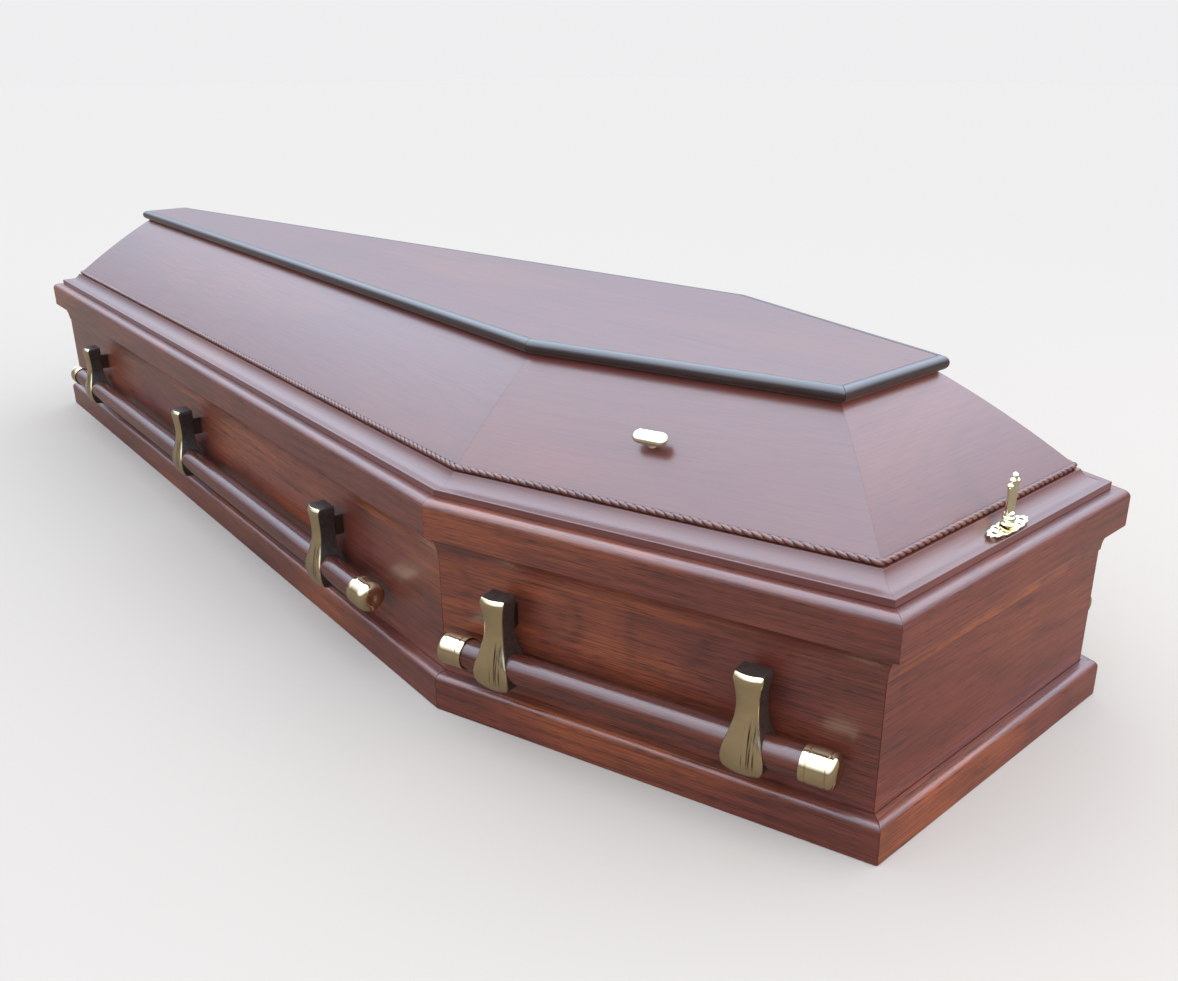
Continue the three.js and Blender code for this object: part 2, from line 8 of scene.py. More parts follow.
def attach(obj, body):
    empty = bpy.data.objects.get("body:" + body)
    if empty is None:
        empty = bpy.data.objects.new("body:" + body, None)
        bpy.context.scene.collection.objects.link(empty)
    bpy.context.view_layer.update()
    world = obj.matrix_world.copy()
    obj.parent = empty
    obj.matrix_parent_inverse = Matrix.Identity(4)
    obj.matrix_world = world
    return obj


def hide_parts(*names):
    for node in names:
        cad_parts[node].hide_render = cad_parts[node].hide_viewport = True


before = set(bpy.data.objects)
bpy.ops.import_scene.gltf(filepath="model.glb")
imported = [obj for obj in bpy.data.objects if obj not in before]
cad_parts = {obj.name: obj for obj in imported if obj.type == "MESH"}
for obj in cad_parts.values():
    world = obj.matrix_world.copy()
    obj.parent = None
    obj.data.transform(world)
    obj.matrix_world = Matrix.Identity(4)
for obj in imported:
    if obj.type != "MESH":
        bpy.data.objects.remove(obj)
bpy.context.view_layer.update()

# The view: a camera off the head end's right corner, a little above the lid, and a pale floor.
# A soft pale sky and one warm lamp beyond the head end light it. Lacquer and metal mirror a
# cool sky that is bright overhead and dark near the horizon.


def placed(name, data):
    """A new object in the scene, at the origin."""
    piece = bpy.data.objects.new(name, data)
    bpy.context.scene.collection.objects.link(piece)
    return piece


def connect(tree, node, inputs):
    """Gives each input, by its name or number, a value, a colour or another node's output."""
    for key, value in inputs.items():
        socket = node.inputs[key]
        if isinstance(value, bpy.types.NodeSocket):
            tree.links.new(value, socket)
        elif socket.type == "RGBA":
            socket.default_value = (*value, 1)
        else:
            socket.default_value = value


def add_node(tree, kind, inputs=None, **settings):
    node = tree.nodes.new(kind)
    for name, value in settings.items():
        setattr(node, name, value)
    connect(tree, node, inputs or {})
    return node


def mixed(tree, amount, first, second):
    """The first colour where the amount is 0, and the second where it is 1."""
    return add_node(tree, "ShaderNodeMix", {0: amount, 6: first, 7: second}, data_type="RGBA").outputs[2]


def ramp(tree, value, stops):
    """The colour for a value, from stops of (value, colour)."""
    node = add_node(tree, "ShaderNodeValToRGB", {"Fac": value})
    bands = node.color_ramp.elements
    for band, (position, colour) in zip((bands[0], bands[1]), (stops[0], stops[-1])):
        band.position, band.color = position, (*colour, 1)
    for position, colour in stops[1:-1]:
        bands.new(position).color = (*colour, 1)
    return node.outputs["Color"]


def new_material(name):
    """A new material, with its node tree and its shader."""
    material = bpy.data.materials.new(name)
    material.use_nodes = True
    return material, material.node_tree, material.node_tree.nodes["Principled BSDF"]


camera_data = bpy.data.cameras.new("camera")
camera_data.sensor_width = 36.0
camera_data.lens = 34.238
camera_data.shift_x = -0.02702
camera_data.shift_y = 0.0063
camera_data.clip_end = 100.0
camera = placed("camera", camera_data)
camera.location = (1.46381, -0.96245, 0.69142)
camera.rotation_euler = [math.radians(angle) for angle in (68.5, 0.0, 46.42)]
bpy.context.scene.camera = camera
bpy.context.scene.view_settings.view_transform = "Standard"

floor_reach = 30.0
floor_height = -0.0005
floor_corners = ((-1, -1), (1, -1), (1, 1), (-1, 1))
floor_mesh = bpy.data.meshes.new("studio_floor")
floor_mesh.from_pydata(
    [(x * floor_reach, y * floor_reach, floor_height) for x, y in floor_corners], [], [(0, 1, 2, 3)]
)
floor = placed("studio_floor", floor_mesh)
floor_seen = (0.594, 0.596, 0.607)
floor_mirrored = (0.24, 0.23, 0.22)
floor_paint, floor_tree, floor_shader = new_material("floor_paint")
floor_ray = add_node(floor_tree, "ShaderNodeLightPath").outputs["Is Camera Ray"]
floor_tone = mixed(floor_tree, floor_ray, floor_mirrored, floor_seen)
connect(floor_tree, floor_shader, {"Base Color": floor_tone, "Roughness": 1.0, "Specular IOR Level": 0.0})
floor_mesh.materials.append(floor_paint)

sky = bpy.data.worlds.new("soft_sky")
bpy.context.scene.world = sky
sky.use_nodes = True
sky_tree = sky.node_tree
sky_tree.nodes.clear()
sky_direction = add_node(sky_tree, "ShaderNodeTexCoord").outputs["Generated"]
sky_height = add_node(sky_tree, "ShaderNodeSeparateXYZ", {0: sky_direction}).outputs["Z"]
sky_ray = add_node(sky_tree, "ShaderNodeLightPath").outputs
# Heights run from the horizon (0) to overhead (1).
daylight_bands = [(0.0, (1.0, 0.985, 0.96)), (1.0, (0.60, 0.60, 0.60))]
mirrored_bands = [
    (0.0, (0.030, 0.030, 0.032)),
    (0.12, (0.040, 0.043, 0.050)),
    (0.35, (0.185, 0.215, 0.262)),
    (0.50, (0.36, 0.44, 0.54)),
    (0.70, (0.46, 0.56, 0.68)),
    (0.95, (0.66, 0.82, 1.0)),
]


def sky_of(colour, strength):
    return add_node(sky_tree, "ShaderNodeBackground", {"Color": colour, "Strength": strength}).outputs[0]


def sky_choice(ray, others, chosen):
    return add_node(sky_tree, "ShaderNodeMixShader", {0: sky_ray[ray], 1: others, 2: chosen}).outputs[0]


daylight = sky_of(ramp(sky_tree, sky_height, daylight_bands), 2.0)
mirrored_sky = sky_of(ramp(sky_tree, sky_height, mirrored_bands), 7.8)
backdrop = sky_of((0.86, 0.86, 0.87), 1.0)
whole_sky = sky_choice("Is Camera Ray", sky_choice("Is Glossy Ray", daylight, mirrored_sky), backdrop)
add_node(sky_tree, "ShaderNodeOutputWorld", {"Surface": whole_sky})

lamp_place = Vector((4.4, 0.8, 0.9))
lamp_aim = Vector((0.6, 0.0, 0.15))
lamp_data = bpy.data.lights.new("head_light", "AREA")
lamp_data.shape = "RECTANGLE"
lamp_data.size = 2.0
lamp_data.size_y = 1.6
lamp_data.energy = 19
lamp_data.color = (1.0, 0.80, 0.60)
lamp_data.spread = math.radians(90)
lamp = placed("head_light", lamp_data)
lamp.location = lamp_place
lamp.rotation_euler = (lamp_aim - lamp_place).to_track_quat("-Z", "Y").to_euler()
lamp.visible_glossy = False

# The box: six boards, mitred at the corners and stained red-brown, stand on the bottom
# board. They are ash or oak with a strong open grain under a half-gloss lacquer. The inside
# has the same stain and no lining.
HEAD, LEFT_SHORT, LEFT_LONG, FOOT, RIGHT_LONG, RIGHT_SHORT = range(6)
half_length = 1.025
shoulder_x = 0.522
head_half_width, shoulder_half_width, foot_half_width = 0.22, 0.3575, 0.2155


def six_corners(head_x, head_y, middle_x, middle_y, foot_x, foot_y):
    """A coffin's outline: two corners at the head, the shoulders and the foot, anticlockwise."""
    left = [(head_x, head_y), (middle_x, middle_y), (foot_x, foot_y)]
    right = [(x, -y) for x, y in left]
    return [Vector(corner) for corner in (right[0], *left, right[2], right[1])]


rim_outline = six_corners(
    half_length, head_half_width, shoulder_x, shoulder_half_width, -half_length, foot_half_width
)


def side_direction(outline, side):
    return (outline[(side + 1) % 6] - outline[side]).normalized()


def inset_corner(outline, corner, inset):
    before = side_direction(outline, (corner + 5) % 6)
    after = side_direction(outline, corner)
    inward_before = Vector((-before.y, before.x))
    inward_after = Vector((-after.y, after.x))
    reach = inset / (1 + inward_before.dot(inward_after))
    return outline[corner] + (inward_before + inward_after) * reach


def inside_rim(corner, inset):
    return inset_corner(rim_outline, corner, inset)


def noise(tree, place, stretch, detail, roughness=0.5):
    """Soft noise between 0 and 1, finer along the axes that are stretched more."""
    stretched = add_node(tree, "ShaderNodeVectorMath", {0: place, 1: stretch}, operation="MULTIPLY")
    inputs = {"Vector": stretched.outputs[0], "Scale": 1.0, "Detail": detail, "Roughness": roughness}
    return add_node(tree, "ShaderNodeTexNoise", inputs).outputs["Fac"]


def calc(tree, operation, *values):
    return add_node(tree, "ShaderNodeMath", dict(enumerate(values)), operation=operation).outputs[0]


def fitted(tree, value, low, high):
    """Eases from 0 to 1 while a value goes from low to high."""
    inputs = {"Value": value, "From Min": low, "From Max": high}
    return add_node(tree, "ShaderNodeMapRange", inputs, interpolation_type="SMOOTHSTEP").outputs["Result"]


def fine_relief(tree, height, strength, depth):
    inputs = {"Height": height, "Strength": strength, "Distance": depth}
    return add_node(tree, "ShaderNodeBump", inputs).outputs["Normal"]


def stained_wood(name, deep, middle, warm, gloss, figure=1.0, coat=0.35):
    """Open-grained wood: growth rings, fibres and pores drawn along each board's own length."""
    material, tree, shader = new_material(name)
    board = add_node(tree, "ShaderNodeUVMap", uv_map="board").outputs["UV"]

    def grain(along, across, detail, roughness=0.5):
        return noise(tree, board, (along, across, 1.0), detail, roughness)

    fibre = grain(along=8.0, across=430.0, detail=3.0, roughness=0.55)
    hair = grain(along=14.0, across=1100.0, detail=2.0)
    flow = grain(along=0.75, across=5.0, detail=1.5, roughness=0.4)
    pores = grain(along=48.0, across=1100.0, detail=1.0, roughness=0.4)
    cloud = grain(along=1.9, across=6.5, detail=3.0)
    shade = grain(along=2.3, across=3.1, detail=2.0)

    ring_count = 26.0
    ring_profile = [(0.0, 1.0), (0.12, 0.35), (0.45, 0.0), (0.80, 0.30), (1.0, 1.0)]
    feathered = calc(tree, "MULTIPLY_ADD", fibre, 0.5, calc(tree, "MULTIPLY", flow, ring_count))
    rings = ramp(tree, calc(tree, "FRACT", feathered), [(place, (tone,) * 3) for place, tone in ring_profile])
    darkness = calc(tree, "MULTIPLY", rings, 0.24 * figure)
    for marks, weight in (
        (fitted(tree, fibre, 0.42, 0.62), 0.34 * figure),
        (fitted(tree, hair, 0.40, 0.66), 0.24 * figure),
        (fitted(tree, pores, 0.56, 0.66), 0.40 * figure),
        (fitted(tree, shade, 0.30, 0.72), 0.18),
    ):
        darkness = calc(tree, "MULTIPLY_ADD", marks, weight, darkness)
    ground = mixed(tree, fitted(tree, cloud, 0.46, 0.70), middle, warm)
    stain = add_node(tree, "ShaderNodeClamp", {"Value": darkness}).outputs[0]
    finish = {
        "Base Color": mixed(tree, stain, ground, deep),
        "Roughness": calc(tree, "MULTIPLY_ADD", fibre, 0.10, gloss - 0.05),
        "Coat Weight": coat,
        "Coat Roughness": 0.22,
        "Normal": fine_relief(tree, calc(tree, "SUBTRACT", 1.0, darkness), strength=0.16, depth=0.0004),
    }
    connect(tree, shader, finish)
    return material


def shaded(mesh, smooth_below):
    """Shades a mesh smoothly, except over edges sharper than an angle in degrees."""
    for polygon in mesh.polygons:
        polygon.use_smooth = True
    mesh.set_sharp_from_angle(angle=math.radians(smooth_below))


def piece_from(name, shell, finish, smooth_below=40.0):
    """A piece made of a shell, with its faces turned outwards."""
    bmesh.ops.recalc_face_normals(shell, faces=shell.faces)
    mesh = bpy.data.meshes.new(name)
    shell.to_mesh(mesh)
    shell.free()
    mesh.materials.append(finish)
    shaded(mesh, smooth_below)
    return placed(name, mesh)


def finish_edges(piece, radius, smooth_below=38.0):
    """Rounds the crisp edges of a piece slightly, as sanding does, and keeps its flats flat."""
    shaded(piece.data, smooth_below)
    rounding = piece.modifiers.new("rounding", "BEVEL")
    rounding.width = radius
    rounding.segments = 2
    rounding.limit_method = "ANGLE"
    rounding.angle_limit = math.radians(smooth_below)
    flats = piece.modifiers.new("flats", "WEIGHTED_NORMAL")
    flats.weight = 100
    flats.keep_sharp = False


def mitred_boards(name, section, sides, place, wood, gap=0.0002, grain_start=0.0):
    """Closed lengths of one section, one along each of the sides, cut on the mitres."""
    grain_step = 2.7
    grain_skew = 1.3
    shell = bmesh.new()
    board = shell.loops.layers.uv.new("board")
    count = len(section)

    def lay_grain(face, along, start, across):
        for loop, distance in zip(face.loops, across):
            loop[board].uv = (loop.vert.co.xy.dot(along) + start, distance + start * grain_skew)

    for side in sides:
        along = side_direction(rim_outline, side)
        start = grain_start + grain_step * side
        ends = []
        for corner, shift in ((side, along * gap), ((side + 1) % 6, along * -gap)):
            ends.append([Vector((*(place(corner, inset) + shift), height)) for inset, height in section])
        middles = [(near + far) / 2 for near, far in zip(*ends)]
        girth = [0.0]
        for here, there in zip(middles, middles[1:] + middles[:1]):
            girth.append(girth[-1] + (there - here).length)
        near, far = [[shell.verts.new(point) for point in end] for end in ends]
        for j in range(count):
            k = (j + 1) % count
            face = shell.faces.new((near[j], near[k], far[k], far[j]))
            lay_grain(face, along, start, (girth[j], girth[j + 1], girth[j + 1], girth[j]))
        for end in (near, far):
            face = shell.faces.new(end)
            lay_grain(face, along, start, [loop.vert.co.z for loop in face.loops])
    return piece_from(name, shell, wood)


box_wood = stained_wood(
    "box_wood",
    deep=(0.040, 0.013, 0.012),
    middle=(0.175, 0.044, 0.032),
    warm=(0.340, 0.092, 0.036),
    gloss=0.36,
)
wall_face = 0.0184
wall_back = 0.0384
wall_bottom = 0.0183
box_top = 0.255
wall_section = [
    (wall_face, wall_bottom),
    (wall_face, box_top),
    (wall_back, box_top),
    (wall_back, wall_bottom),
]
wall_sides = {
    "head": HEAD,
    "left_short": LEFT_SHORT,
    "left_long": LEFT_LONG,
    "foot": FOOT,
    "right_long": RIGHT_LONG,
    "right_short": RIGHT_SHORT,
}
for wall_name, wall_side in wall_sides.items():
    board = mitred_boards(f"side_board_{wall_name}", wall_section, [wall_side], inside_rim, box_wood)
    finish_edges(board, 0.0008)
    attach(board, "coffin")
    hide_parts(f"wall_{wall_name}")

# The bottom board: one flat board, left plain and unlacquered underneath, as nobody sees it.
# The walls stand on it and are nailed down into it.
bottom_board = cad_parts["bottom_board"]
bottom_tones = [(0.35, (0.075, 0.024, 0.018)), (0.65, (0.16, 0.055, 0.036))]
bottom_wood, bottom_tree, bottom_shader = new_material("bottom_wood")
bottom_place = add_node(bottom_tree, "ShaderNodeTexCoord").outputs["Object"]
bottom_grain = noise(bottom_tree, bottom_place, (3.0, 70.0, 70.0), detail=5.0)
bottom_colour = ramp(bottom_tree, bottom_grain, bottom_tones)
connect(bottom_tree, bottom_shader, {"Base Color": bottom_colour, "Roughness": 0.6})
bottom_board.data.materials.clear()
bottom_board.data.materials.append(bottom_wood)

# The plinth: a flat moulding with a rounded top edge, mitred and glued round the foot of the
# walls. It hides the edge of the bottom board.
plinth_face = 0.002
plinth_top = 0.043
plinth_round = 0.008
moulding_back = 0.0181
moulding_smooth = 25.0


def arc(centre, radii, start, stop, steps):
    """Points of an arc in a section, as (inset, height), from one angle in degrees to another."""
    angles = [math.radians(start + (stop - start) * i / steps) for i in range(steps + 1)]
    return [(centre[0] + radii[0] * math.cos(a), centre[1] + radii[1] * math.sin(a)) for a in angles]


plinth_centre = (plinth_face + plinth_round, plinth_top - plinth_round)
plinth_section = [
    (plinth_face, 0.0),
    *arc(plinth_centre, (plinth_round, plinth_round), 180, 90, steps=8),
    (moulding_back, plinth_top),
    (moulding_back, 0.0),
]
plinth = mitred_boards("plinth_moulding", plinth_section, range(6), inside_rim, box_wood, grain_start=11.0)
finish_edges(plinth, 0.0006, moulding_smooth)
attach(plinth, "coffin")
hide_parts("plinth")

# The rim: a deep moulding round the top of the walls, with a rounded top edge and a cove
# under its flat band. The lid lies on its top.
rim_round = 0.0095
cove_bottom = 0.1826
cove_top = 0.212
cove_lip = 0.0006
cove_radii = (moulding_back - 0.001, cove_top - cove_bottom)
rim_section = [
    (0.0, cove_top + cove_lip),
    *arc((rim_round, box_top - rim_round), (rim_round, rim_round), 180, 90, steps=8),
    (moulding_back, box_top),
    (moulding_back, cove_bottom),
    *arc((0.0, cove_bottom), cove_radii, 0, 84, steps=12),
]
rim = mitred_boards("rim", rim_section, range(6), inside_rim, box_wood, gap=0.0001, grain_start=23.0)
finish_edges(rim, 0.0003, moulding_smooth)
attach(rim, "coffin")
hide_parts("rim_moulding")

# The lid's frame: a moulding mitred round the foot of the lid, with a low square edge, a
# narrow flat, a wide hollow that climbs from it, and a seat for the rope bead. The joints are
# filled and lacquered over, so that they hardly show.
lid_wood = stained_wood(
    "lid_wood",
    deep=(0.048, 0.018, 0.018),
    middle=(0.130, 0.042, 0.036),
    warm=(0.165, 0.054, 0.038),
    gloss=0.36,
    figure=0.42,
)
joint = 0.0003
tight_joint = 0.00003
lid_bottom = 0.2553
lid_edge = 0.0173
lid_edge_top = 0.2632
edge_round = (0.0011, 0.0014)
strip_inner = 0.025
hollow_radius = 0.0215
rope_seat = 0.2758
slope_inset = 0.0525
slope_sole = 0.2665
frame_back = 0.072
edge_centre = (lid_edge + edge_round[0], lid_edge_top - edge_round[1])
hollow_centre = (strip_inner, lid_edge_top + hollow_radius)
hollow_end = -math.degrees(math.asin((hollow_centre[1] - rope_seat) / hollow_radius))
frame_section = [
    (lid_edge, lid_bottom),
    *arc(edge_centre, edge_round, 180, 90, steps=4),
    *arc(hollow_centre, (hollow_radius, hollow_radius), -90, hollow_end, steps=16),
    (slope_inset - joint, rope_seat),
    (slope_inset - joint, slope_sole - joint),
    (frame_back, slope_sole - joint),
    (frame_back, lid_bottom),
]
lid_frame = mitred_boards(
    "lid_foot_moulding", frame_section, range(6), inside_rim, lid_wood, gap=tight_joint, grain_start=31.0
)
finish_edges(lid_frame, 0.0002, moulding_smooth)
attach(lid_frame, "coffin")
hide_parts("lid_frame")

# The slopes: six bowed boards rise from the frame to the flat top. They are hollow
# underneath and meet on mitres at the hips. A small toe on each tucks in behind the rope.
top_outline = six_corners(0.852, 0.085, 0.496, 0.1795, -0.918, 0.0365)
slope_foot = 0.2825
slope_top = 0.3795
slope_bow = 0.15
slope_depth = 0.020
slope_ledge = 0.08
slope_toe = -0.009
slope_steps = 24


def on_slope(corner, climb):
    """A point of a hip in plan, from the foot of the slopes (0) to the flat top (1)."""
    return inside_rim(corner, slope_inset).lerp(top_outline[corner], climb)


def slope_height(climb):
    return slope_foot + (slope_top - slope_foot) * ((1 + slope_bow) * climb - slope_bow * climb**2)


slope_section = [(slope_toe, slope_foot - 0.0030), (slope_toe, slope_foot - 0.0011)]
slope_section += [(i / slope_steps, slope_height(i / slope_steps)) for i in range(slope_steps + 1)]
slope_section.append((1 + slope_ledge, slope_top))
for i in range(slope_steps + 1):
    climb = 1 + slope_ledge - i / slope_steps
    slope_section.append((climb, slope_height(climb) - slope_depth))
slope_section += [(slope_ledge, slope_sole), (0.0, slope_sole), (0.0, slope_foot - 0.0032)]
for slope_name, slope_side in wall_sides.items():
    board_name = f"slope_board_{slope_name}"
    slope = mitred_boards(
        board_name, slope_section, [slope_side], on_slope, lid_wood, gap=tight_joint, grain_start=43.0
    )
    finish_edges(slope, 0.0002, moulding_smooth)
    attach(slope, "coffin")
    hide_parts(f"lid_slope_{slope_name}")

# The flat top: one veneered board lies on the ledges of the six slopes, inside its edging.
# Its grain runs along the lid.
top_bottom = 0.3798
top_thickness = 0.016
top_grain_start = (57.3, 12.1)


def lofted(shell, rows):
    """Adds a closed solid through matching rows of points, with flat ends."""
    rings = [[shell.verts.new(point) for point in row] for row in rows]
    count = len(rows[0])
    for lower, upper in zip(rings, rings[1:]):
        for j in range(count):
            k = (j + 1) % count
            shell.faces.new((lower[j], lower[k], upper[k], upper[j]))
    shell.faces.new(list(reversed(rings[0])))
    shell.faces.new(rings[-1])


top_corners = [inset_corner(top_outline, corner, joint) for corner in range(6)]
top_levels = (top_bottom, top_bottom + top_thickness)
top_shell = bmesh.new()
top_grain = top_shell.loops.layers.uv.new("board")
lofted(top_shell, [[(*corner, height) for corner in top_corners] for height in top_levels])
for face in top_shell.faces:
    for loop in face.loops:
        x, y, z = loop.vert.co
        loop[top_grain].uv = (x + top_grain_start[0], y + z + top_grain_start[1])
top_board = piece_from("top_board", top_shell, lid_wood)
finish_edges(top_board, 0.0009)
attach(top_board, "coffin")
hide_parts("lid_top_panel")

# The edging of the flat top: a half-round moulding, mitred round it and stained almost black.
# It is as thick as the board.
edge_wood = stained_wood(
    "edge_wood",
    deep=(0.014, 0.008, 0.008),
    middle=(0.036, 0.018, 0.018),
    warm=(0.050, 0.024, 0.021),
    gloss=0.30,
)
bullnose_flat = 0.003
bullnose_radius = top_thickness / 2
bullnose_centre = (bullnose_flat, top_bottom + bullnose_radius)


def around_top(corner, outset):
    return inset_corner(top_outline, corner, -outset)


bullnose_section = [
    (joint, top_bottom),
    *arc(bullnose_centre, (bullnose_radius, bullnose_radius), -90, 90, steps=16),
    (joint, top_bottom + top_thickness),
]
bullnose = mitred_boards("top_edging", bullnose_section, range(6), around_top, edge_wood, grain_start=61.0)
finish_edges(bullnose, 0.0004, moulding_smooth)
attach(bullnose, "coffin")
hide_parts("lid_bullnose")

# The rope bead: a thin round moulding carved as a two-strand rope, laid on its seat all
# round the lid. The grooves between the strands are painted almost black as painted shade.
rope_wood = stained_wood(
    "rope_wood",
    deep=(0.055, 0.018, 0.016),
    middle=(0.240, 0.095, 0.078),
    warm=(0.280, 0.110, 0.080),
    gloss=0.38,
    coat=0.3,
)


def paint_shading_over(material, amount, colour):
    """Lays a colour over a material's own where the amount is 1, for painted shade and painted reflections.
    """
    tree = material.node_tree
    shader = tree.nodes["Principled BSDF"]
    ground = shader.inputs["Base Color"].links[0].from_socket
    connect(tree, shader, {"Base Color": mixed(tree, amount, ground, colour)})


def closed_line(curve, points):
    """Adds a closed line through points to a curve."""
    line = curve.splines.new("POLY")
    line.points.add(len(points) - 1)
    for point, place in zip(line.points, points):
        point.co = (*place, 1)
    line.use_cyclic_u = True


def tree_inputs(tree, kinds):
    """Gives a tree its geometry in and out and its named inputs, and returns their identifiers."""
    sockets = tree.interface
    sockets.new_socket("Geometry", in_out="OUTPUT", socket_type="NodeSocketGeometry")
    sockets.new_socket("Geometry", in_out="INPUT", socket_type="NodeSocketGeometry")
    identifiers = {}
    for name, kind in kinds.items():
        socket = sockets.new_socket(name, in_out="INPUT", socket_type=f"NodeSocket{kind}")
        identifiers[name] = socket.identifier
    return identifiers


def step(tree, kind, inputs=None, **settings):
    """Adds a node and returns its first output."""
    return add_node(tree, kind, inputs, **settings).outputs[0]


def baked(maker, name):
    """The plain mesh that an object makes with its modifiers. The object itself is removed."""
    mesh = bpy.data.meshes.new_from_object(maker.evaluated_get(bpy.context.evaluated_depsgraph_get()))
    bpy.data.objects.remove(maker)
    mesh.name = name
    return mesh


# Painted shade: the grooves between the strands are darkened almost to black.
groove = add_node(rope_wood.node_tree, "ShaderNodeAttribute", attribute_name="groove").outputs["Fac"]
paint_shading_over(rope_wood, groove, (0.022, 0.008, 0.008))

rope_tree = bpy.data.node_groups.new("rope_carving", "GeometryNodeTree")
rope_kinds = {
    "Radius": "Float",
    "Groove Depth": "Float",
    "Strands": "Int",
    "Turns": "Int",
    "Step": "Float",
    "Corner Radius": "Float",
    "Finish": "Material",
}
rope_inputs = tree_inputs(rope_tree, rope_kinds)
rope_given = add_node(rope_tree, "NodeGroupInput").outputs
full_turn = 2 * math.pi
groove_sharpness = 1.6

corner_inputs = {"Curve": rope_given["Geometry"], "Radius": rope_given["Corner Radius"], "Count": 6}
bent = step(rope_tree, "GeometryNodeFilletCurve", corner_inputs, mode="POLY")
even_inputs = {"Curve": bent, "Length": rope_given["Step"]}
even = step(rope_tree, "GeometryNodeResampleCurve", even_inputs, mode="LENGTH")
upright = step(rope_tree, "GeometryNodeSetCurveNormal", {"Curve": even}, mode="Z_UP")
progress = step(rope_tree, "GeometryNodeSplineParameter")
whole_turns = calc(rope_tree, "MULTIPLY", rope_given["Turns"], full_turn)
twist = calc(rope_tree, "MULTIPLY", progress, whole_turns)
twisted = step(rope_tree, "GeometryNodeSetCurveTilt", {"Curve": upright, "Tilt": twist})

round_inputs = {"Resolution": 24, "Radius": rope_given["Radius"]}
round_section = step(rope_tree, "GeometryNodeCurvePrimitiveCircle", round_inputs, mode="RADIUS")
strand_angle = calc(
    rope_tree, "MULTIPLY", calc(rope_tree, "MULTIPLY", progress, full_turn), rope_given["Strands"]
)
half_angle = calc(rope_tree, "MULTIPLY", strand_angle, 0.5)
crest = calc(rope_tree, "ABSOLUTE", calc(rope_tree, "COSINE", half_angle))
hollow = calc(rope_tree, "POWER", calc(rope_tree, "SUBTRACT", 1.0, crest), groove_sharpness)
# How deep each point of the section lies in a groove, kept as the mask of the painted groove shade.
groove_inputs = {"Geometry": round_section, "Name": "groove", "Value": hollow}
marked = step(
    rope_tree, "GeometryNodeStoreNamedAttribute", groove_inputs, data_type="FLOAT", domain="POINT"
)
depth = calc(rope_tree, "MULTIPLY", hollow, rope_given["Groove Depth"])
share_left = calc(rope_tree, "SUBTRACT", 1.0, depth)
position = step(rope_tree, "GeometryNodeInputPosition")
drawn_in = step(rope_tree, "ShaderNodeVectorMath", {0: position, "Scale": share_left}, operation="SCALE")
strands = step(rope_tree, "GeometryNodeSetPosition", {"Geometry": marked, "Position": drawn_in})

swept = step(rope_tree, "GeometryNodeCurveToMesh", {"Curve": twisted, "Profile Curve": strands})
smooth = step(rope_tree, "GeometryNodeSetShadeSmooth", {"Geometry": swept})
settled = step(rope_tree, "GeometryNodeRealizeInstances", {"Geometry": smooth})
stained = step(rope_tree, "GeometryNodeSetMaterial", {"Geometry": settled, "Material": rope_given["Finish"]})
add_node(rope_tree, "NodeGroupOutput", {"Geometry": stained})

rope_inset = 0.0491
rope_radius = 0.0033
rope_centre = rope_seat + joint + rope_radius
rope_corners = [inside_rim(corner, rope_inset) for corner in range(6)]
rope_length = sum((rope_corners[(i + 1) % 6] - rope_corners[i]).length for i in range(6))
strand_count = 2
strand_spacing = 0.0103
rope_curve = bpy.data.curves.new("rope", "CURVE")
rope_curve.dimensions = "3D"
closed_line(rope_curve, [(*corner, rope_centre) for corner in rope_corners])
rope_path = placed("rope_path", rope_curve)
rope_carving = rope_path.modifiers.new("carving", "NODES")
rope_carving.node_group = rope_tree
for input_name, value in {
    "Radius": rope_radius,
    "Groove Depth": 0.34,
    "Strands": strand_count,
    "Turns": round(rope_length / (strand_count * strand_spacing)),
    "Step": 0.0018,
    "Corner Radius": 0.006,
    "Finish": rope_wood,
}.items():
    rope_carving[rope_inputs[input_name]] = value
rope_mesh = baked(rope_path, "rope_moulding")
rope = placed("rope_moulding", rope_mesh)
rope_grain = rope_mesh.uv_layers.new(name="board")
for entry, loop in zip(rope_grain.data, rope_mesh.loops):
    x, y, z = rope_mesh.vertices[loop.vertex_index].co
    entry.uv = (x, y + z)
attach(rope, "coffin")
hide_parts("rope_bead")

# The lid screws: one at each end of the lid. An oval plate with a scalloped edge and
# pierced holes bridges the hollow of the lid's frame, and a ribbed finial for turning the
# screw by hand stands on it. Both are cast and plated pale gold.


def plated_metal(name, colour, roughness):
    """Polished plating with the faint unevenness of a thin casting under it."""
    material, tree, shader = new_material(name)
    place = add_node(tree, "ShaderNodeTexCoord").outputs["Object"]
    wear = noise(tree, place, (55.0, 55.0, 55.0), detail=4.0)
    ripple = noise(tree, place, (160.0, 160.0, 160.0), detail=2.0)
    worn = [0.86 * channel for channel in colour]
    finish = {
        "Metallic": 1.0,
        "Base Color": ramp(tree, wear, [(0.3, worn), (0.7, colour)]),
        "Roughness": calc(tree, "MULTIPLY_ADD", wear, 0.7 * roughness, 0.7 * roughness),
        "Normal": fine_relief(tree, ripple, strength=0.08, depth=0.0006),
    }
    connect(tree, shader, finish)
    return material


def circle(radius, sides):
    """Points round a circle, as (x, y)."""
    angles = [2 * math.pi * i / sides for i in range(sides)]
    return [(radius * math.cos(a), radius * math.sin(a)) for a in angles]


def turned(shell, profile, sides, turn=Matrix.Identity(4)):
    """Adds a turned solid from a profile of (radius, height) points, closed at both ends."""
    rows = []
    for radius, height in profile:
        rows.append([turn @ Vector((x, y, height)) for x, y in circle(radius, sides)])
    lofted(shell, rows)


def leaning(shell, levels, sides, stand):
    """Adds a leaning rod through levels of (height, place sideways, radius)."""
    rows = []
    for height, middle, radius in levels:
        rows.append([stand @ Vector((x, middle + y, height)) for x, y in circle(radius, sides)])
    lofted(shell, rows)


